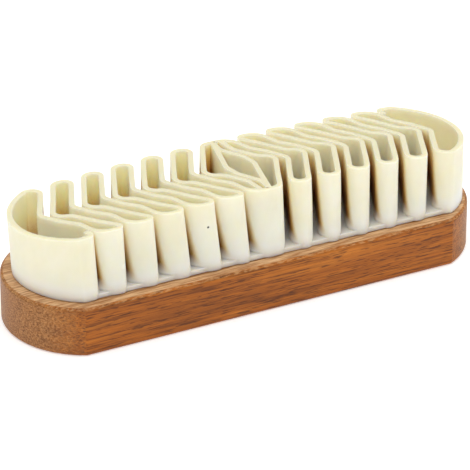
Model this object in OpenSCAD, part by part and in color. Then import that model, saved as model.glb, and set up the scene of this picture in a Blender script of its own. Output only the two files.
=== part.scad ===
// Crepe-rubber suede brush on a wooden hand block, in millimetres.
// X runs along the block, Z points up, and the origin is the middle of the block's underside.

/* [Wooden block] */
// Overall length of the block
block_length = 150; // [130:1:180]
// Overall width of the block
block_width = 46; // [42:0.5:49]
// Height of the block
block_height = 15.4; // [12:0.2:22]
// Radius of the bowed ends, seen from above
end_radius = 25.5; // [24:0.5:40]
// Rounding of the top edge
top_round = 1.2; // [0.4:0.1:2]
// Rounding of the bottom edge
bottom_round = 1; // [0.4:0.1:2]

/* [Glue] */
// Thickness of the glue film under the rubber
glue_thickness = 0.3; // [0.2:0.05:0.6]
// How far the film stays inside the edge of the rubber
glue_inset = 1; // [0.6:0.1:2]

/* [Rubber base] */
// Bare wood between the rubber and the long edges of the block
side_margin = 3.4; // [2.6:0.1:5]
// Bare wood between the rubber and the ends of the block
end_margin = 2.8; // [2:0.1:5]
// How far along the block the rubber is glued off its middle
off_middle = 0.7; // [0:0.1:1]
// Thickness of the base web that joins the walls
base_thickness = 1.5; // [1:0.1:3]
// How far the base web lies behind the outer faces of the walls
base_inset = 0.5; // [0.2:0.1:0.8]

/* [Rubber walls] */
// Thickness of the walls
wall = 1.6; // [1.2:0.1:1.8]
// Height of the rubber above the glue, at the middle
rubber_height = 21.6; // [16:0.2:28]
// Slope of the rubber's top down towards the slot edge, in degrees
top_slope = 3; // [0:0.5:4]
// How much lower the rubber is at its two ends
crown_drop = 3; // [0.5:0.1:5]
// Distance from one loop to the next
loop_pitch = 9.7; // [9.2:0.1:10.6]
// Distance between the slots on either side of the middle loop
middle_pitch = 11.9; // [11:0.1:13]
// How far the row of slits is shifted along against the row of slots
row_shift = 0.65; // [0.2:0.05:1.2]
// Width of the open slots between the round-ended loops
slot_width = 2.35; // [1.6:0.05:2.8]
// Width of the closed slits between the broad loops
slit_width = 0.4; // [0.2:0.05:0.8]

/* [Wall bends] */
// Sideways lean of the walls from the slots inward, per millimetre
lean = 0.45; // [0.36:0.01:0.5]
// Rounding of the corners of the round-ended loops, at the wall's middle
tight_bend = 1.6; // [1.1:0.1:1.9]
// Rounding of the soft corner of the broad loops, at the wall's middle
soft_bend = 2.8; // [1.4:0.1:3]
// Rounding where the walls change direction, at the wall's middle
turn_bend = 1.4; // [1:0.1:1.6]
// Rounding of the two walls that cross the middle, at the wall's middle
middle_bend = 3; // [1:0.5:4]
// Length of the loose end tucked in at each end of the rubber
tuck = 3.5; // [2:0.1:5]

/* [Hidden] */

// Heights of the faces that the pieces share
glue_z = block_height;
rubber_z = block_height + glue_thickness;
// Centre of the bowed ends, which the block, the glue and the rubber share
end_centre = block_length / 2 - end_radius;
// Half width and end radius of the rubber's outer face
rubber_half = block_width / 2 - side_margin;
rubber_radius = end_radius - end_margin;
// The same at the middle of the wall's thickness
wall_y = rubber_half - wall / 2;
wall_radius = rubber_radius - wall / 2;
// Where the long walls meet the bowed end walls
corner_angle = asin(wall_y / wall_radius);
corner_x = end_centre + wall_radius * cos(corner_angle);
// Half the distance between the middles of two walls with a slot or a slit between them
slot_half = (slot_width + wall) / 2;
slit_half = (slit_width + wall) / 2;
// Loops in each half beside the middle one
first_slot = middle_pitch / 2 - row_shift;
first_slit = middle_pitch / 2 + row_shift;
loops = floor((corner_x - first_slot - slot_half - 2.3 * tight_bend) / loop_pitch);
// Where the last wall meets the bowed end wall
end_joint = 0.6 - corner_x;
// Radius of the crown that runs the length of the rubber
crown_half = end_centre + rubber_radius;
crown_radius = (crown_half * crown_half + crown_drop * crown_drop) / (2 * crown_drop);
// Steps in one bend, and in each bowed end wall
bend_steps = 3;
end_steps = 14;

function slot_x(i) = -first_slot - i * loop_pitch;
function slit_x(i) = -first_slit - i * loop_pitch;
function unit(v) = v / norm(v);

// Arc of radius r that replaces the corner v between the points a and b
function bend(a, v, b, r) =
    let (
        u = unit(a - v),
        w = unit(b - v),
        half = acos(u * w) / 2,
        c = v + unit(u + w) * r / sin(half),
        p = v + u * r / tan(half) - c,
        q = v + w * r / tan(half) - c,
        start = atan2(p.y, p.x),
        turn = (atan2(q.y, q.x) - start + 540) % 360 - 180
    )
    [for (k = [0:bend_steps]) c + r * [cos(start + turn * k / bend_steps), sin(start + turn * k / bend_steps)]];

// Line through corners given as [x, y, bend radius]; a radius of 0 keeps the corner
function line(c) = [
    for (i = [0:len(c) - 1])
        let (v = [c[i].x, c[i].y])
        each c[i].z == 0 ? [v] : bend([c[i - 1].x, c[i - 1].y], v, [c[i + 1].x, c[i + 1].y], c[i].z)
];

// Points at the distance d to the left of a line
function beside(p, d) =
    let (last = len(p) - 1)
    [for (i = [0:last])
        let (
            before = unit(p[max(i, 1)] - p[max(i, 1) - 1]),
            after = unit(p[min(i, last - 1) + 1] - p[min(i, last - 1)]),
            along = unit(before + after)
        )
        p[i] + d / (along * after) * [-along.y, along.x]];

// Turns inside the comb: sideways from the slot's middle, then towards the slot edge (+Y)
long_turns = [[-2.2, -3.6], [2.1, -11]];
short_turns = [[-6.2, -5.3], [-2.7, -9.7]];
// Where the lean of the long and of the short legs ends
long_lean_y = -1.2;
short_lean_y = 1.8;
// The same for the walls that cross the middle, from the middle of the block
middle_turns = [[-4.4, 0.5], [-3.6, -5], [0.3, -13]];
middle_end = 0.2;

// Ends of the walls' two kinds of leg, at the slot edge (+Y) and at the slit edge (-Y)
function long_back(i) = slot_x(i) + slot_half;
function long_front(i) = i > 0 ? slit_x(i - 1) - slit_half : -slit_half - wall;
function short_back(i) = slot_x(i) - slot_half;
function short_front(i) = slit_x(i) + slit_half;
// Middles of the walls that join a leg to its neighbours
function back_mid(i) = (long_back(i) + (i > 0 ? short_back(i - 1) : -short_front(0))) / 2;
function front_mid(i) = (short_front(i) + (i > 0 ? long_front(i) : -long_back(0))) / 2;

function long_leg(i) = line([
    [back_mid(i) + 0.1, wall_y, 0],
    [long_back(i), wall_y, tight_bend],
    [long_back(i) - lean * (wall_y - long_lean_y), long_lean_y, turn_bend],
    for (t = long_turns) [slot_x(i) + t.x, t.y, turn_bend],
    [long_front(i), -wall_y, i > 0 ? tight_bend : 0],
    if (i > 0) [front_mid(i) - 0.1, -wall_y, 0]
]);

function short_leg(i) = line([
    if (i < loops) [back_mid(i + 1) - 0.1, wall_y, 0],
    if (i == loops) [end_joint - 0.1, wall_y, 0],
    [short_back(i), wall_y, tight_bend],
    [short_back(i) - lean * (wall_y - short_lean_y), short_lean_y, turn_bend],
    for (t = short_turns) [slot_x(i) + t.x, t.y, turn_bend],
    [short_front(i), -wall_y, soft_bend],
    [front_mid(i) + 0.1, -wall_y, 0]
]);

function middle_leg() = line([
    [middle_end, wall_y, 0],
    for (t = middle_turns) [t.x, t.y, middle_bend],
    [-middle_end, -wall_y, 0]
]);

function end_wall() = line([
    [end_joint + 0.1, wall_y, 0],
    [-corner_x, wall_y, turn_bend],
    for (k = [1:end_steps - 1])
        let (a = corner_angle - 2 * corner_angle * k / end_steps)
        [-end_centre - wall_radius * cos(a), wall_radius * sin(a), 0],
    [-corner_x, -wall_y, turn_bend],
    [slit_x(loops) - slit_half, -wall_y, tight_bend],
    [slit_x(loops) - slit_half - 0.25 * tuck, tuck - wall_y, 0]
]);

module ribbon(p) {
    left = beside(p, wall / 2);
    right = beside(p, -wall / 2);
    polygon(concat(left, [for (i = [len(p) - 1:-1:0]) right[i]]));
}

// Half of the walls; the other half is the same turned by half a turn
module half_walls() {
    for (i = [0:loops]) {
        ribbon(long_leg(i));
        ribbon(short_leg(i));
    }
    ribbon(middle_leg());
    ribbon(end_wall());
}

module walls() {
    half_walls();
    rotate(180) half_walls();
}

// Fills the hairline gaps that are left where two walls run together
module closed_up() {
    offset(delta = -0.02) offset(delta = 0.02) children();
}

// Straight-sided plan with bowed ends about the block's end centres
module plan(half_width, radius) {
    intersection() {
        square([2 * (end_centre + radius), 2 * half_width], center = true);
        union() {
            square([2 * end_centre, 2 * half_width], center = true);
            for (s = [-1, 1]) translate([s * end_centre, 0]) circle(r = radius, $fn = 180);
        }
    }
}

// Half section of the block out to the distance d, with its rounded edges
module rounded_half(d) {
    square([d - max(top_round, bottom_round), block_height]);
    translate([0, bottom_round]) square([d, block_height - top_round - bottom_round]);
    translate([d - bottom_round, bottom_round]) circle(r = bottom_round, $fn = 48);
    translate([d - top_round, block_height - top_round]) circle(r = top_round, $fn = 48);
    translate([0, block_height - top_round]) square([d - top_round, top_round]);
    square([d - bottom_round, bottom_round]);
}

module wood_block() {
    color("#b9783f")
    intersection() {
        rotate([90, 0, 90]) linear_extrude(block_length, center = true) {
            rounded_half(block_width / 2);
            mirror([1, 0]) rounded_half(block_width / 2);
        }
        union() {
            translate([-end_centre, -block_width / 2 - 1, 0]) cube([2 * end_centre, block_width + 2, block_height]);
            for (s = [-1, 1]) translate([s * end_centre, 0, 0]) rotate_extrude($fn = 180) rounded_half(end_radius);
        }
    }
}

module glue_film() {
    color("#e9dfb4")
    translate([off_middle, 0, glue_z]) linear_extrude(glue_thickness) plan(rubber_half - glue_inset, rubber_radius - glue_inset);
}

module crepe_comb() {
    color("#f0e9c4")
    translate([off_middle, 0, rubber_z]) {
        linear_extrude(base_thickness) plan(rubber_half - base_inset, rubber_radius - base_inset);
        intersection() {
            linear_extrude(rubber_height + block_width / 2 * tan(top_slope) + 1) closed_up() walls();
            translate([0, 0, rubber_height])
                rotate([90 - top_slope, 0, 0])
                    translate([0, -crown_radius, 0]) cylinder(r = crown_radius, h = 2 * block_width, center = true, $fn = 1440);
        }
    }
}

wood_block();
glue_film();
crepe_comb();
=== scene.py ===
# %% [markdown]
# # A crepe-rubber suede brush
# The brush is a varnished beech block with one upright comb of cream crepe rubber glued on it.
# The block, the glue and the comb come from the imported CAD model. This script gives them their
# finish, softens the edges that a mould or a sander would leave soft, draws the comb's bends
# rounder than the CAD can, and sets up the picture.

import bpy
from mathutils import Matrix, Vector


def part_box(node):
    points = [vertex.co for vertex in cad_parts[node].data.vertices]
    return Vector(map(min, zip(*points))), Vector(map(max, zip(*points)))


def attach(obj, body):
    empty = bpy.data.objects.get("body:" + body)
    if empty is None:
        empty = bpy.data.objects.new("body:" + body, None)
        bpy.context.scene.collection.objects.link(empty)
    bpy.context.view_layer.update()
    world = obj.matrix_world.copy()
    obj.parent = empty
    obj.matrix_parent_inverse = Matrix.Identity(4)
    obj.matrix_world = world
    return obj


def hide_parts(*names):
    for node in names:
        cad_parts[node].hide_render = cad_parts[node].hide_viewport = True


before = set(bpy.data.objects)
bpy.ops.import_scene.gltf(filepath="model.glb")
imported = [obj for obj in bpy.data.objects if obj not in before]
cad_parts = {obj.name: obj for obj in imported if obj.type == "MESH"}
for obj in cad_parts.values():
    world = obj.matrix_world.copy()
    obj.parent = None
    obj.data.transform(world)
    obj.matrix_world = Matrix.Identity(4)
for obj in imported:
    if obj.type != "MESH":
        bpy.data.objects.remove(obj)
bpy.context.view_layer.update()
print("nodes:", sorted(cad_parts))

# %% [markdown]
# ## Units and selections
# Blender works in metres, and the sizes below are in millimetres, so one constant turns one into
# the other. An operator acts on everything that is selected, so one function deselects all else
# before each piece is worked on. That is safer than remembering what the last step selected.

# %% Tools used throughout
import math

import bmesh
import bpy
import numpy as np
from mathutils import Vector, noise

MM = 0.001


def only(piece):
    """Select one object and make it active, with everything else deselected."""
    bpy.ops.object.select_all(action="DESELECT")
    piece.select_set(True)
    bpy.context.view_layer.objects.active = piece


def smooth_shade(piece, angle):
    """Smooth shading that keeps edges sharper than the angle, in degrees."""
    only(piece)
    bpy.ops.object.shade_smooth_by_angle(angle=math.radians(angle))


# %% [markdown]
# ## Working copies of the CAD pieces
# A CAD mesh arrives as loose triangles and must stay as it is. To soften an edge we could model
# the piece anew, but a copy keeps its size exactly. The copy's doubled corners are merged and its
# flat areas are joined again, which leaves clean edges for a bevel to follow. The copy then
# stands for the CAD piece.

# %% Copy a CAD piece
MERGE = 0.002


def working_copy(node, name, flat_angle):
    """Merged copy of a CAD node, with its flat areas joined."""
    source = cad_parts[node]
    piece = source.copy()
    piece.data = source.data.copy()
    piece.name = piece.data.name = name
    piece.parent = None
    bpy.context.scene.collection.objects.link(piece)
    piece.data.materials.clear()
    only(piece)
    bpy.ops.object.mode_set(mode="EDIT")
    bpy.ops.mesh.select_all(action="SELECT")
    bpy.ops.mesh.remove_doubles(threshold=MERGE * MM)
    bpy.ops.mesh.dissolve_limited(angle_limit=math.radians(flat_angle))
    bpy.ops.object.mode_set(mode="OBJECT")
    print(name, "starts with", len(piece.data.polygons), "faces")
    return piece


# %% Bevel chosen edges
def bevel_where(piece, wanted, width, segments):
    """Bevel the edges for which wanted(edge) is true, with the width in millimetres."""
    only(piece)
    bpy.ops.object.mode_set(mode="EDIT")
    bpy.ops.mesh.select_mode(type="EDGE")
    bpy.ops.mesh.select_all(action="DESELECT")
    shape = bmesh.from_edit_mesh(piece.data)
    shape.normal_update()
    picked = [edge for edge in shape.edges if len(edge.link_faces) == 2 and wanted(edge)]
    for edge in picked:
        edge.select = True
    shape.select_flush_mode()
    bmesh.update_edit_mesh(piece.data)
    if picked:
        bpy.ops.mesh.bevel(offset=width * MM, segments=segments, clamp_overlap=True)
    bpy.ops.object.mode_set(mode="OBJECT")
    print(piece.name, "bevelled", len(picked), "edges")


# %% [markdown]
# ## The beech block
# The real block is beech, sawn and sanded, stained orange-brown and varnished. Its top and
# bottom edges are rounded in the CAD model. The four upright corners, where the straight sides
# meet the bowed ends, are only eased with sandpaper. A narrow bevel on a working copy gives that
# soft line without touching the rest.

# %% Ease the upright corners of the block
FLAT_ANGLE, CORNER_ANGLE, BLOCK_SMOOTH = 0.3, 12, 25
EASE_WIDTH, EASE_SEGMENTS = 1.2, 3
UPRIGHT_EDGE = 0.99

block = working_copy("wood_block", "beech_block", FLAT_ANGLE)


def upright_corner(edge):
    along = (edge.verts[1].co - edge.verts[0].co).normalized()
    return abs(along.z) > UPRIGHT_EDGE and edge.calc_face_angle(0) > math.radians(CORNER_ANGLE)


bevel_where(block, upright_corner, EASE_WIDTH, EASE_SEGMENTS)
smooth_shade(block, BLOCK_SMOOTH)

# %% [markdown]
# ## The crepe comb: its plan
# The real comb is one long wall of crepe rubber that runs to and fro across the block and is soft
# at every bend. It could be cut from a slab, but a wall of even thickness is easier to grow from
# its middle line. We draw that line as corners and round each corner with an arc as wide as its
# neighbours leave room for. The sizes are those of the CAD piece, so the wall lies where the CAD says.

# %% Sizes of the comb, in millimetres
comb_low, comb_high = (Vector(corner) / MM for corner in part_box("crepe_comb"))
OFF_MIDDLE = (comb_low.x + comb_high.x) / 2
WALL, WEB, WEB_INSET = 1.6, 1.5, 0.5
WALL_Y = comb_high.y - WALL / 2
# The bowed ends
END_CENTRE = 49.5
END_RADIUS = comb_high.x - OFF_MIDDLE - END_CENTRE - WALL / 2
END_STEPS = 24
# The loops: slots open to the back and slits open to the front, counted from the middle outwards
PITCH, LOOPS = 9.7, 5
FIRST_SLOT, FIRST_SLIT = 5.3, 6.6
SLOT_HALF, SLIT_HALF = 1.975, 1.0
LEAN, TUCK, TUCK_DRIFT = 0.45, 3.5, 0.25
# Radius of each kind of bend
ROUND, TIGHT, SOFT, TURN, CENTRE, END_BEND = 3.0, 1.5, 5.4, 3.6, 5.0, 1.4
# Where the walls turn between back and front
LONG_TURNS = ((-2.2, -3.6), (2.1, -11.0))
SHORT_TURNS = ((-6.2, -5.3), (-2.7, -9.7))
LONG_LEAN_Y, SHORT_LEAN_Y = -1.2, 1.8
CENTRE_TURNS, CENTRE_SHIFT = ((-4.4, 0.5), (-3.6, -5.0), (0.3, -13.0)), 0.2

corner_angle = math.asin(WALL_Y / END_RADIUS)
corner_x = END_CENTRE + END_RADIUS * math.cos(corner_angle)
print("comb", [round(v, 2) for v in comb_high - comb_low], "mm, end radius", round(END_RADIUS, 2))

# %% Round the corners of a line
ARC_STEP = 11
FULLEST = 0.98


def rounded(corners):
    """Points of a line whose corners (x, y, radius) become arcs that fit beside their neighbours."""
    spots = np.array([corner[:2] for corner in corners])
    sides = spots[1:] - spots[:-1]
    lengths = np.linalg.norm(sides, axis=1)
    sides = sides / lengths[:, None]
    bends = [math.acos(np.clip(a @ b, -1, 1)) for a, b in zip(sides[:-1], sides[1:])]
    bends = [0.0] + bends + [0.0]
    # Length of side that each arc takes up, and how far both arcs on a side shrink to fit on it
    take = [corner[2] * math.tan(bend / 2) for bend, corner in zip(bends, corners)]
    fit = [min(1, FULLEST * length / max(a + b, 1e-9)) for length, a, b in zip(lengths, take[:-1], take[1:])]
    points = []
    for k, (x, y, radius) in enumerate(corners):
        if radius == 0:
            points.append(spots[k])
            continue
        shrink = min(fit[k - 1], fit[k])
        radius = radius * shrink
        side, following = sides[k - 1], sides[k]
        turn = bends[k] * np.sign(side[0] * following[1] - side[1] * following[0])
        inward = np.array((-side[1], side[0])) * np.sign(turn)
        centre = spots[k] - side * take[k] * shrink + inward * radius
        steps = max(2, round(abs(math.degrees(turn)) / ARC_STEP))
        for angle in np.linspace(0, turn, steps + 1):
            c, s = math.cos(angle), math.sin(angle)
            spoke = -inward * radius
            points.append(centre + np.array((c * spoke[0] - s * spoke[1], s * spoke[0] + c * spoke[1])))
    return np.array(points)


# %% The two legs of a loop
def short_leg(i):
    """Corners of the wall on the outer side of loop i, from the back to the front."""
    slot = -FIRST_SLOT - i * PITCH
    back, front = slot - SLOT_HALF, -FIRST_SLIT - i * PITCH + SLIT_HALF
    return ([(back, WALL_Y, ROUND), (back - LEAN * (WALL_Y - SHORT_LEAN_Y), SHORT_LEAN_Y, TURN)]
            + [(slot + x, y, TURN) for x, y in SHORT_TURNS] + [(front, -WALL_Y, SOFT)])


def long_leg(i):
    """The same on the inner side of loop i. The first one ends in the middle wall."""
    slot = -FIRST_SLOT - i * PITCH
    back = slot + SLOT_HALF
    if i > 0:
        front = (-FIRST_SLIT - (i - 1) * PITCH - SLIT_HALF, -WALL_Y, TIGHT)
    else:
        front = (-SLIT_HALF - WALL, -WALL_Y, 0)
    return ([(back, WALL_Y, ROUND), (back - LEAN * (WALL_Y - LONG_LEAN_Y), LONG_LEAN_Y, TURN)]
            + [(slot + x, y, TURN) for x, y in LONG_TURNS] + [front])


# %% Draw the line of the wall
last_front = -FIRST_SLIT - LOOPS * PITCH - SLIT_HALF
half_line = [(last_front - TUCK_DRIFT * TUCK, TUCK - WALL_Y, 0), (last_front, -WALL_Y, TIGHT),
             (-corner_x, -WALL_Y, END_BEND)]
for step in range(1, END_STEPS):
    angle = corner_angle * (2 * step / END_STEPS - 1)
    half_line.append((-END_CENTRE - END_RADIUS * math.cos(angle), END_RADIUS * math.sin(angle), 0))
half_line.append((-corner_x, WALL_Y, END_BEND))
for i in range(LOOPS, -1, -1):
    half_line += short_leg(i)
    if i > 0:
        half_line += long_leg(i)[::-1]
half_line += [(-x, -y, radius) for x, y, radius in long_leg(0)]
centre_line = ([(CENTRE_SHIFT, WALL_Y, 0)] + [(x, y, CENTRE) for x, y in CENTRE_TURNS]
               + [(-CENTRE_SHIFT, -WALL_Y, 0)])
print("corners in half the wall:", len(half_line))

# %% [markdown]
# ## The crepe comb: its walls
# A line of points becomes a curve, the curve becomes a mesh, and its edges are extruded up in
# short steps, so that the wall can waver a little later. Solidify gives the thickness, which
# keeps it the same through every bend. The other half is the same wall after half a turn, and
# Boolean unions join the walls and the base into one clean skin.

# %% Grow an upright sheet from a line
STEP_UP, LEVELS = 2.6, 9
LONGEST = 3.0


def subdivided(points):
    """The same line with no step longer than LONGEST."""
    out = [points[0]]
    for a, b in zip(points[:-1], points[1:]):
        parts = max(1, math.ceil(np.linalg.norm(b - a) / LONGEST))
        out += [a + (b - a) * k / parts for k in range(1, parts + 1)]
    return np.array(out)


def upright(name, points):
    """Upright sheet over a line of points."""
    line = bpy.data.curves.new(name, "CURVE")
    line.dimensions = "3D"
    spline = line.splines.new("POLY")
    spline.points.add(len(points) - 1)
    for knot, (x, y) in zip(spline.points, points):
        knot.co = (x * MM, y * MM, comb_low.z * MM, 1)
    piece = bpy.data.objects.new(name, line)
    bpy.context.scene.collection.objects.link(piece)
    only(piece)
    bpy.ops.object.convert(target="MESH")
    piece = bpy.context.active_object
    bpy.ops.object.mode_set(mode="EDIT")
    bpy.ops.mesh.select_all(action="SELECT")
    for _ in range(LEVELS):
        bpy.ops.mesh.extrude_region_move(TRANSFORM_OT_translate={"value": (0, 0, STEP_UP * MM)})
    bpy.ops.object.mode_set(mode="OBJECT")
    return piece


# %% Give the sheets their thickness
def apply_modifier(piece, kind, **settings):
    only(piece)
    made = piece.modifiers.new(kind.lower(), kind)
    for name, value in settings.items():
        setattr(made, name, value)
    bpy.ops.object.modifier_apply(modifier=made.name)


def wall_piece(name, corners, turned):
    points = subdivided(rounded(corners)) * (-1 if turned else 1)
    piece = upright(name, points + np.array((OFF_MIDDLE, 0)))
    apply_modifier(piece, "SOLIDIFY", thickness=WALL * MM, offset=0, use_even_offset=True, use_rim=True)
    only(piece)
    bpy.ops.object.mode_set(mode="EDIT")
    bpy.ops.mesh.select_all(action="SELECT")
    bpy.ops.mesh.normals_make_consistent(inside=False)
    bpy.ops.object.mode_set(mode="OBJECT")
    return piece


comb = wall_piece("crepe_rubber_comb", half_line, False)
others = [wall_piece("right_wall", half_line, True), wall_piece("centre_wall_a", centre_line, False),
          wall_piece("centre_wall_b", centre_line, True)]
print("one half of the wall has", len(comb.data.polygons), "faces")

# %% [markdown]
# ## The crepe comb: its base
# The base web is a thin plate with the plan of the comb, a little smaller than the walls. It
# starts as a filled circle whose corners are moved to the outline, and is extruded up. The walls
# stand in it, so the union leaves no faces hidden inside.

# %% Grow the base and join everything
WEB_STEPS = 33

web_half = comb_high.y - WEB_INSET
web_radius = END_RADIUS + WALL / 2 - WEB_INSET
web_angle = math.asin(web_half / web_radius)
right_end = [(END_CENTRE + web_radius * math.cos(a), web_radius * math.sin(a))
             for a in np.linspace(-web_angle, web_angle, WEB_STEPS)]
outline = right_end + [(-x, -y) for x, y in right_end]
bpy.ops.object.select_all(action="DESELECT")
bpy.ops.mesh.primitive_circle_add(vertices=len(outline), radius=web_radius * MM, fill_type="NGON",
                                  location=(0, 0, 0))
web = bpy.context.active_object
for vert, (x, y) in zip(web.data.vertices, outline):
    vert.co = ((x + OFF_MIDDLE) * MM, y * MM, comb_low.z * MM)
bpy.ops.object.mode_set(mode="EDIT")
bpy.ops.mesh.select_all(action="SELECT")
bpy.ops.mesh.extrude_region_move(TRANSFORM_OT_translate={"value": (0, 0, WEB * MM)})
bpy.ops.mesh.select_all(action="SELECT")
bpy.ops.mesh.normals_make_consistent(inside=False)
bpy.ops.object.mode_set(mode="OBJECT")

for piece in others + [web]:
    apply_modifier(comb, "BOOLEAN", operation="UNION", object=piece, solver="EXACT")
    bpy.data.objects.remove(piece)
print("joined comb:", len(comb.data.polygons), "faces")

# %% [markdown]
# ## The crepe comb: its rims
# Moulded rubber has no sharp edge on top. A bevel of a little under half the wall on both sides
# leaves a round rim with a narrow flat, as on the real one.

# %% Round the rims
RIM_WIDTH, RIM_SEGMENTS = 0.68, 3
SIDE_FACE, TOP_FACE, NEAR_TOP = 0.3, 0.9, 0.1
top_z = (comb_low.z + LEVELS * STEP_UP) * MM


def rim(edge):
    """True between a side face and a top face, at the top of the walls."""
    ups = sorted(abs(face.normal.z) for face in edge.link_faces)
    low_end = min(vert.co.z for vert in edge.verts)
    return ups[0] < SIDE_FACE and ups[1] > TOP_FACE and low_end > top_z - NEAR_TOP * MM


bevel_where(comb, rim, RIM_WIDTH, RIM_SEGMENTS)

# %% [markdown]
# ## The crepe comb: its crown and its waver
# The top of the comb is a shallow arch along the block that also drops a little towards the
# slot edge. Each corner of the mesh is moved to its place under that arch, which keeps the walls
# whole where a cut would leave rough edges. Soft rubber never stands quite straight, so a smooth
# noise field pushes the walls up to a few tenths of a millimetre sideways, more at the top than
# at the base, and the loops of the front lean as they do on the real brush.

# %% Shape the crown
CROWN_DROP, RISE, TOP_SLOPE = 3.0, 21.6, math.tan(math.radians(3))
WAVER, WAVER_LENGTH, WAVER_UP = 0.22, 13.0, 0.6
# Without a seed the noise field starts from the clock and differs in each run
WAVER_SEED = 7
# On the front, most of all left of the middle, the feet of the loops stand further right than their tops
LEAN_LEFT, LEAN_MIDDLE, LEAN_AT, LEAN_SPREAD = 1.0, 2.2, -17.0, 22.0
LEAN_FROM, LEAN_OVER, LEAN_LENGTH = 5, 24, 144
# The bowed ends are pressed outwards a little when the comb is glued
FLARE_FROM, FLARE_LEFT, FLARE_RIGHT = 48.0, 1.0, 0.8
COMB_SMOOTH = 45

crown_half = END_CENTRE + END_RADIUS + WALL / 2
crown_radius = (crown_half ** 2 + CROWN_DROP ** 2) / (2 * CROWN_DROP)
noise.seed_set(WAVER_SEED)
for vert in comb.data.vertices:
    x, y, z = vert.co / MM
    along = x - OFF_MIDDLE
    crown = RISE - crown_radius + math.sqrt(crown_radius ** 2 - along ** 2) - y * TOP_SLOPE
    share = (z - comb_low.z) / (LEVELS * STEP_UP)
    push = noise.noise_vector(Vector((x, y, WAVER_UP * z)) / WAVER_LENGTH) * WAVER * share
    front = min(1, max(0, (LEAN_FROM - y) / LEAN_OVER))
    lean = (LEAN_LEFT * (0.5 - x / LEAN_LENGTH)
            + LEAN_MIDDLE * math.exp(-((x - LEAN_AT) / LEAN_SPREAD) ** 2))
    outer = max(0, abs(along) - FLARE_FROM) / (crown_half - FLARE_FROM)
    flare = FLARE_RIGHT * outer if along > 0 else -FLARE_LEFT * outer * share
    vert.co = Vector((x + push.x + lean * front * (1 - share) + flare, y + push.y,
                      comb_low.z + share * crown)) * MM
comb.data.update()
smooth_shade(comb, COMB_SMOOTH)
comb_top = max(vert.co.z for vert in comb.data.vertices) / MM
print("top of the comb:", round(comb_top, 3), "CAD:", round(comb_high.z, 3))

# %% [markdown]
# ## Colours and nodes
# Paint charts give colours as hex values, and Blender computes with linear ones, so one function
# turns one into the other. Another adds a shader node with its settings and its links in one
# go, so that a material reads like a recipe. Patterns read Object coordinates, which are metres,
# and a third function turns the size of one cell in millimetres into a scale.

# %% Helpers for the materials
def linear(hex_colour):
    """Linear RGBA of an sRGB hex colour."""
    parts = [int(hex_colour[i:i + 2], 16) / 255 for i in (1, 3, 5)]
    return [c / 12.92 if c <= 0.04045 else ((c + 0.055) / 1.055) ** 2.4 for c in parts] + [1.0]


def per_mm(x, y, z):
    """Mapping scale that makes one pattern cell x, y and z millimetres long."""
    return (1 / (x * MM), 1 / (y * MM), 1 / (z * MM))


def add_node(tree, kind, inputs=None, stops=(), **settings):
    """Add a node, set its properties and colour stops (position, hex), then set or link its inputs."""
    made = tree.nodes.new(kind)
    for name, value in settings.items():
        setattr(made, name, value)
    for k, (position, colour) in enumerate(stops):
        elements = made.color_ramp.elements
        stop = elements[k] if k < 2 else elements.new(position)
        stop.position, stop.color = position, linear(colour)
    for name, value in (inputs or {}).items():
        if isinstance(value, bpy.types.NodeSocket):
            tree.links.new(value, made.inputs[name])
        else:
            made.inputs[name].default_value = value
    return made


def new_material(name):
    """Material with an empty node tree."""
    material = bpy.data.materials.new(name)
    material.use_nodes = True
    material.node_tree.nodes.clear()
    return material, material.node_tree


print("mid grey is", round(linear("#808080")[0], 3), "in linear light")

# %% [markdown]
# ## Stained and varnished beech: its patterns
# Beech is pale and fine-grained. Stain makes it orange-brown and brings out its short dark flecks,
# which are about 2 to 4 mm long and run along the grain. The grain follows the length of the
# block, so the bowed ends show end grain. Every pattern is a noise whose cells have the length,
# width and height that the mark has on real beech, which is simpler than drawing the marks.

# %% Patterns of the wood
beech, tree = new_material("stained_varnished_beech")
place = add_node(tree, "ShaderNodeTexCoord").outputs["Object"]
# Cell in mm along the block, across it and up, then detail, roughness and distortion
WOOD_PATTERNS = {
    "streaks": ((70, 4.5, 3.2), 6.0, 0.6, 0.4),
    "fibres": ((16, 0.5, 0.5), 4.0, 0.65, 0.0),
    "flecks": ((5.0, 0.4, 0.34), 1.5, 0.6, 0.0),
    "lines": ((20, 0.65, 0.45), 2.5, 0.6, 0.0),
    "patches": ((28, 9, 9), 2.0, 0.6, 0.0),
    "dots": ((3.0, 0.6, 0.45), 3.0, 0.7, 0.0),
    "top_fibres": ((7, 0.5, 1.0), 4.0, 0.6, 0.0),
    "scuffs": ((1.6, 0.6, 0.6), 4.0, 0.6, 0.0),
}
wood = {}
for name, (cell, detail, roughness, distortion) in WOOD_PATTERNS.items():
    cells = add_node(tree, "ShaderNodeMapping", {"Vector": place, "Scale": per_mm(*cell)})
    wood[name] = add_node(tree, "ShaderNodeTexNoise", {
        "Vector": cells.outputs["Vector"], "Scale": 1.0, "Detail": detail,
        "Roughness": roughness, "Distortion": distortion}).outputs["Fac"]
print("patterns in the wood:", len(wood))

# %% [markdown]
# ## Stained and varnished beech: where each mark shows
# A pattern becomes a mark by stretching a narrow band of its values from nothing to full. The way
# a face looks decides the rest: the ends cut across the fibres, the flat top is paler, and the
# rounded top edge gets a painted highlight, broken up by a scuff pattern.

# %% Shares of the wood's marks
normal = add_node(tree, "ShaderNodeSeparateXYZ", {0: add_node(tree, "ShaderNodeNewGeometry").outputs["Normal"]})
endwise = add_node(tree, "ShaderNodeMath", {0: normal.outputs["X"]}, operation="ABSOLUTE").outputs["Value"]
upward = normal.outputs["Z"]
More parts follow.
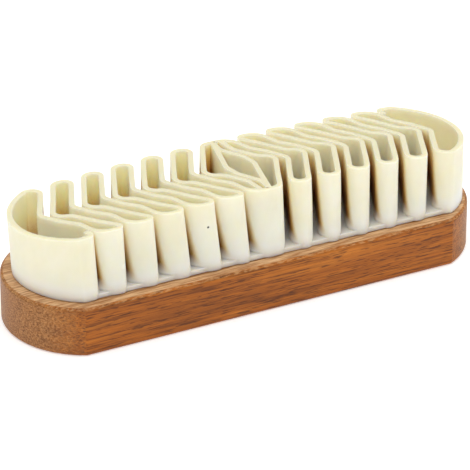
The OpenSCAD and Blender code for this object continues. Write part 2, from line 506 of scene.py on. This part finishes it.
# What is measured, the two values it runs between, and the shares they stand for
WOOD_SHARES = {
    "tone": (wood["fibres"], 0.3, 0.7, 0.72, 1.24),
    "lines": (wood["lines"], 0.53, 0.62, 0.0, 0.55),
    "flecks": (wood["flecks"], 0.56, 0.64, 0.0, 0.72),
    "ends": (endwise, 0.35, 0.8, 0.0, 0.75),
    "flat_top": (upward, 0.9, 0.99, 0.0, 1.0),
    "not_flat_top": (upward, 0.9, 0.99, 1.0, 0.0),
    "top_edge": (upward, 0.3, 0.6, 0.0, 1.0),
    "scuffs": (wood["scuffs"], 0.42, 0.62, 0.0, 0.55),
    "roughness": (wood["patches"], 0.0, 1.0, 0.42, 0.56),
}
shares = {}
for name, (value, low, high, to_low, to_high) in WOOD_SHARES.items():
    shares[name] = add_node(tree, "ShaderNodeMapRange", {
        "Value": value, "From Min": low, "From Max": high,
        "To Min": to_low, "To Max": to_high}).outputs["Result"]
TOP_PALENESS = 0.85
paler_top = add_node(tree, "ShaderNodeMath", {0: shares["flat_top"], 1: TOP_PALENESS}, operation="MULTIPLY")
edge_only = add_node(tree, "ShaderNodeMath", {0: shares["top_edge"], 1: shares["not_flat_top"]},
                     operation="MULTIPLY")
# Painted highlight: a pale line along the rounded top edge, broken up by the scuff pattern
painted_highlight = add_node(tree, "ShaderNodeMath", {0: edge_only.outputs["Value"], 1: shares["scuffs"]},
                operation="MULTIPLY")
print("shares in the wood:", len(shares))

# %% [markdown]
# ## Stained and varnished beech: its colour and gloss
# The stain is darkest in the streaks. The marks are laid over it one after another, as a finisher
# would glaze them. The varnish is thin and rubbed down, so it gives a soft satin gloss with an
# IOR of about 1.5, and the fibres and pores still stand out a few hundredths of a millimetre.

# %% Colour and gloss of the wood
stain = add_node(tree, "ShaderNodeValToRGB", {"Fac": wood["streaks"]},
                 stops=((0.3, "#80430c"), (0.5, "#a95d12"), (0.72, "#c47724")))
end_grain = add_node(tree, "ShaderNodeValToRGB", {"Fac": wood["dots"]},
                     stops=((0.38, "#6b421f"), (0.62, "#c08a52")))
top_tone = add_node(tree, "ShaderNodeValToRGB", {"Fac": wood["top_fibres"]},
                    stops=((0.38, "#a67345"), (0.62, "#eac292")))
colour = add_node(tree, "ShaderNodeVectorMath", {0: stain.outputs["Color"], "Scale": shares["tone"]},
                  operation="SCALE").outputs["Vector"]
# For colours, a Mix node's share is input 0, its two colours are 6 and 7, and its result is output 2
# The last layer is the painted highlight along the rounded top edge
for share, layer in ((shares["lines"], linear("#55290b")),
                     (shares["flecks"], linear("#42200a")),
                     (shares["ends"], end_grain.outputs["Color"]),
                     (paler_top.outputs["Value"], top_tone.outputs["Color"]),
                     (painted_highlight.outputs["Value"], linear("#cfa06a"))):
    colour = add_node(tree, "ShaderNodeMix", {0: share, 6: colour, 7: layer}, data_type="RGBA").outputs[2]

fibre_bump = add_node(tree, "ShaderNodeBump", {
    "Height": wood["fibres"], "Strength": 0.35, "Distance": 0.06 * MM})
pore_bump = add_node(tree, "ShaderNodeBump", {
    "Height": wood["flecks"], "Strength": 0.3, "Distance": 0.08 * MM,
    "Normal": fibre_bump.outputs["Normal"]}, invert=True)
varnish = add_node(tree, "ShaderNodeBsdfPrincipled", {
    "Base Color": colour,
    "Roughness": shares["roughness"],
    "IOR": 1.5,
    "Specular IOR Level": 0.28,
    "Normal": pore_bump.outputs["Normal"],
})
add_node(tree, "ShaderNodeOutputMaterial", {"Surface": varnish.outputs["BSDF"]})
block.data.materials.append(beech)
print("nodes in the beech:", len(tree.nodes))

# %% [markdown]
# ## Crepe rubber: its patterns
# Crepe is natural rubber left almost white, in slow clouds of cream. Its skin is matt and faintly
# uneven. Towards the base it is made cooler and whiter. As with the wood, each pattern is
# a noise with cells of a real size.

# %% Patterns of the rubber
crepe, tree = new_material("natural_crepe_rubber")
place = add_node(tree, "ShaderNodeTexCoord").outputs["Object"]
rubber = {}
for name, cell, detail in (("clouds", (11, 11, 16), 3.0), ("skin", (1.6, 1.6, 3.5), 4.0),
                           ("cooler_foot", (5, 5, 5), 3.0)):
    cells = add_node(tree, "ShaderNodeMapping", {"Vector": place, "Scale": per_mm(*cell)})
    rubber[name] = add_node(tree, "ShaderNodeTexNoise", {
        "Vector": cells.outputs["Vector"], "Scale": 1.0, "Detail": detail,
        "Roughness": 0.6, "Distortion": 0.0}).outputs["Fac"]
print("patterns in the rubber:", len(rubber))

# %% [markdown]
# ## Crepe rubber: what tells its places apart
# Deep places are painted a darker warm yellow-brown, for the shade they lie in and the colour of
# light bounced off other rubber. An Ambient Occlusion node measures how shut in a place is, so the
# painted shade follows the shape from every side, and the height adds more painted shade lower
# down. A reach of 4 mm finds the narrow slots, and one of 12 mm also finds the wider hollows.

# %% Shares of the rubber's marks
SLOT_REACH, HOLLOW_REACH, FOOT_LIFT = 4, 12, 8


def above_foot(mm):
    """Height in metres of a place so many millimetres above the foot of the comb."""
    return (comb_low.z + mm) * MM


height = add_node(tree, "ShaderNodeSeparateXYZ", {0: place}).outputs["Z"]
facing = add_node(tree, "ShaderNodeSeparateXYZ", {0: add_node(tree, "ShaderNodeNewGeometry").outputs["Normal"]})
slot_air = add_node(tree, "ShaderNodeAmbientOcclusion", {"Distance": SLOT_REACH * MM}, samples=8)
hollow_air = add_node(tree, "ShaderNodeAmbientOcclusion", {"Distance": HOLLOW_REACH * MM}, samples=6)
foot_line = add_node(tree, "ShaderNodeMath", {0: rubber["cooler_foot"], 1: FOOT_LIFT * MM, 2: height},
                      operation="MULTIPLY_ADD")
RUBBER_SHARES = {
    # Cooler, whiter colour towards the foot, along a noisy line
    "cooler_foot": (foot_line.outputs["Value"], above_foot(14), above_foot(3), 0.0, 0.75),
    # Places shut in within 12 mm, where the painted glow goes
    "shut_in": (hollow_air.outputs["AO"], 0.6, 0.25, 0.0, 1.0),
    "high": (height, above_foot(6), above_foot(13), 0.0, 1.0),
    # Faces that look up, which get a little darker, yellower cream
    "rims": (facing.outputs["Z"], 0.2, 0.8, 0.0, 1.0),
    # Painted shade that grows lower down
    "near_light": (height, above_foot(0), above_foot(20), -0.3, 0.46),
    # A near-white low down between the loops, laid over the painted shade
    "whiter_foot": (height, above_foot(5.5), above_foot(2.2), 0.0, 0.85),
}
# A pale speck low on one loop and a dark spot on another: place and radius in mm
SPOTS = {"speck": ((-46.6, -19.4, 24.3), 1.1), "dark_spot": ((-19.8, -19.5, 30.5), 0.42)}
SPOT_CORE = 0.6
for name, (at, radius) in SPOTS.items():
    away = add_node(tree, "ShaderNodeVectorMath", {0: place, 1: tuple(v * MM for v in at)},
                    operation="DISTANCE")
    RUBBER_SHARES[name] = (away.outputs["Value"], radius * MM, SPOT_CORE * radius * MM, 0.0, 1.0)
shares = {}
for name, (value, low, high, to_low, to_high) in RUBBER_SHARES.items():
    shares[name] = add_node(tree, "ShaderNodeMapRange", {
        "Value": value, "From Min": low, "From Max": high,
        "To Min": to_low, "To Max": to_high}).outputs["Result"]
print("shares in the rubber:", len(shares))

# %% [markdown]
# ## Crepe rubber: its colour and skin
# High in the hollows the walls get a painted glow that stands in for the light coming through
# them, the rims are a little darker and yellower, and low down between the loops the base is whiter.
# Light enters rubber a little way and comes out again, warmer. Subsurface scattering with a
# reach of a few millimetres does the same, which plain diffuse colour can't.

# %% Colour and skin of the rubber
# Painted glow high in the wide hollows, standing in for light that comes through the walls
painted_glow = add_node(tree, "ShaderNodeMath", {0: shares["shut_in"], 1: shares["high"]}, operation="MULTIPLY")
unshaded = add_node(tree, "ShaderNodeMath", {0: slot_air.outputs["AO"], 1: shares["near_light"]},
                    operation="ADD")
# Painted shade: places shut in within 4 mm, and lower places, are multiplied towards a warm brown
painted_shade = add_node(tree, "ShaderNodeValToRGB", {"Fac": unshaded.outputs["Value"]},
                stops=((0.12, "#6a3f0e"), (0.34, "#a67734"), (0.54, "#e4cb93"), (0.74, "#ffffff")))
colour = add_node(tree, "ShaderNodeValToRGB", {"Fac": rubber["clouds"]},
                  stops=((0.32, "#ebe4ca"), (0.68, "#f1ebd6"))).outputs["Color"]
for share, layer, how in ((shares["cooler_foot"], linear("#e6e7df"), "MIX"),
                          (painted_glow.outputs["Value"], linear("#fff4d4"), "MIX"),
                          (shares["rims"], linear("#e2dab8"), "MIX"),
                          (1.0, painted_shade.outputs["Color"], "MULTIPLY"),
                          (shares["whiter_foot"], linear("#eeeae0"), "MIX"),
                          (shares["speck"], linear("#f4f0dc"), "MIX"),
                          (shares["dark_spot"], linear("#3a3128"), "MIX")):
    colour = add_node(tree, "ShaderNodeMix", {0: share, 6: colour, 7: layer},
                      data_type="RGBA", blend_type=how).outputs[2]

skin_bump = add_node(tree, "ShaderNodeBump", {
    "Height": rubber["skin"], "Strength": 0.35, "Distance": 0.12 * MM})
rubber_skin = add_node(tree, "ShaderNodeBsdfPrincipled", {
    "Base Color": colour,
    "Roughness": 0.55,
    "IOR": 1.52,
    "Subsurface Weight": 0.9,
    "Subsurface Radius": (1.0, 0.8, 0.5),
    "Subsurface Scale": 4.0 * MM,
    "Normal": skin_bump.outputs["Normal"],
})
add_node(tree, "ShaderNodeOutputMaterial", {"Surface": rubber_skin.outputs["BSDF"]})
comb.data.materials.append(crepe)
print("nodes in the rubber:", len(tree.nodes))

# %% [markdown]
# ## Set contact glue
# Only a hair-thin line of the glue shows under the rubber. It is a little yellower than the
# crepe, lumpy and slightly glossy. The CAD film has the right shape, so it stays and only gets a
# material: one noise between two ambers is all that such a thin line can show.

# %% Glue material
glue, tree = new_material("set_contact_glue")
place = add_node(tree, "ShaderNodeTexCoord").outputs["Object"]
lump_map = add_node(tree, "ShaderNodeMapping", {"Vector": place, "Scale": per_mm(2.5, 2.5, 2.5)})
lumps = add_node(tree, "ShaderNodeTexNoise", {
    "Vector": lump_map.outputs["Vector"], "Scale": 1.0, "Detail": 2.0})
amber = add_node(tree, "ShaderNodeValToRGB", {"Fac": lumps.outputs["Fac"]},
                 stops=((0.0, "#d9c58a"), (1.0, "#efe3b8")))
set_glue = add_node(tree, "ShaderNodeBsdfPrincipled", {
    "Base Color": amber.outputs["Color"], "Roughness": 0.35, "IOR": 1.47})
add_node(tree, "ShaderNodeOutputMaterial", {"Surface": set_glue.outputs["BSDF"]})
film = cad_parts["glue_film"]
for slot in film.material_slots:
    slot.material = glue
print("slots given to the glue:", len(film.material_slots))

# %% [markdown]
# ## Who rides on what
# Nothing on the brush moves, so every piece rides on the one body.

# %% Rides
for piece, node in ((block, "wood_block"), (comb, "crepe_comb")):
    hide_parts(node)
    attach(piece, "root")
    print(piece.name, "stands for", node)

# %% [markdown]
# ## Floor
# The picture was taken on white. A wide sheet of white paper under the brush could catch a grey
# shadow all over, so the paper also gives off a little light of its own, as an overlit table does.

# %% White paper
bpy.ops.object.select_all(action="DESELECT")
bpy.ops.mesh.primitive_plane_add(size=6, location=(0, 0, 0))
floor = bpy.context.active_object
floor.name = "floor"
paper, tree = new_material("white_paper_floor")
place = add_node(tree, "ShaderNodeTexCoord").outputs["Object"]
paper_map = add_node(tree, "ShaderNodeMapping", {"Vector": place, "Scale": per_mm(400, 400, 400)})
mottle = add_node(tree, "ShaderNodeTexNoise", {"Vector": paper_map.outputs["Vector"], "Scale": 1.0})
white = add_node(tree, "ShaderNodeValToRGB", {"Fac": mottle.outputs["Fac"]},
                 stops=((0.0, "#f8f8f8"), (1.0, "#fcfcfc")))
matt = add_node(tree, "ShaderNodeBsdfPrincipled", {
    "Base Color": white.outputs["Color"], "Roughness": 0.9,
    "Emission Color": (1, 1, 1, 1), "Emission Strength": 0.3})
add_node(tree, "ShaderNodeOutputMaterial", {"Surface": matt.outputs["BSDF"]})
floor.data.materials.append(paper)
print("floor of", round(floor.dimensions.x), "m")

# %% [markdown]
# ## Sky and lamps
# Soft light from all round suits pale rubber, which would burn out under a hard lamp. A wide lamp
# overhead gives most of it and reaches down into the loops. A weaker one from the upper left
# front models the bends, a faint one from the right lifts the shaded sides, and a dim white sky
# fills the rest.

# %% Light the brush
scene = bpy.context.scene
scene.view_settings.view_transform = "Standard"
world = bpy.data.worlds.new("white_studio")
world.use_nodes = True
sky = world.node_tree.nodes["Background"]
sky.inputs["Color"].default_value = (1, 1, 1, 1)
sky.inputs["Strength"].default_value = 0.4
scene.world = world

AIM_AT = Vector((0, 0, 0.02))
# Name, place in metres, side in metres and power in watts
LAMPS = (("key_lamp", (-0.6, -0.8, 1.0), 0.6, 1.9),
         ("top_lamp", (0.1, 0.0, 1.2), 2.2, 20.0),
         ("fill_lamp", (0.9, -0.4, 0.5), 0.6, 0.3))
for name, at, side, power in LAMPS:
    light = bpy.data.lights.new(name, "AREA")
    light.size = side
    light.energy = power
    lamp = bpy.data.objects.new(name, light)
    lamp.location = at
    lamp.rotation_euler = (AIM_AT - Vector(at)).to_track_quat("-Z", "Y").to_euler()
    scene.collection.objects.link(lamp)
    print(name, power, "W")

# %% [markdown]
# ## Camera
# The photograph was taken from about a metre away with a long lens, 28 degrees above the
# table and 27 degrees round to the left of the long side. A long lens keeps the far end of the
# brush nearly as large as the near one.

# %% Place the camera
AZIMUTH, ELEVATION = math.radians(-27.26), math.radians(28.0)
DISTANCE, LENS, SENSOR = 1.044, 267.1, 36
AIM_RIGHT, AIM_UP = -0.9 * MM, 12.3 * MM
NEAREST, FARTHEST = 0.05, 20

back = Vector((math.sin(AZIMUTH) * math.cos(ELEVATION), -math.cos(AZIMUTH) * math.cos(ELEVATION),
               math.sin(ELEVATION)))
right = Vector((math.cos(AZIMUTH), math.sin(AZIMUTH), 0))
up = back.cross(right)
eye = bpy.data.cameras.new("photo_camera")
eye.lens = LENS
eye.sensor_width = SENSOR
eye.clip_start, eye.clip_end = NEAREST, FARTHEST
camera = bpy.data.objects.new("photo_camera", eye)
camera.location = back * DISTANCE + right * AIM_RIGHT + up * AIM_UP
camera.rotation_euler = back.to_track_quat("Z", "Y").to_euler()
scene.collection.objects.link(camera)
scene.camera = camera
print("camera at", [round(v, 4) for v in camera.location])
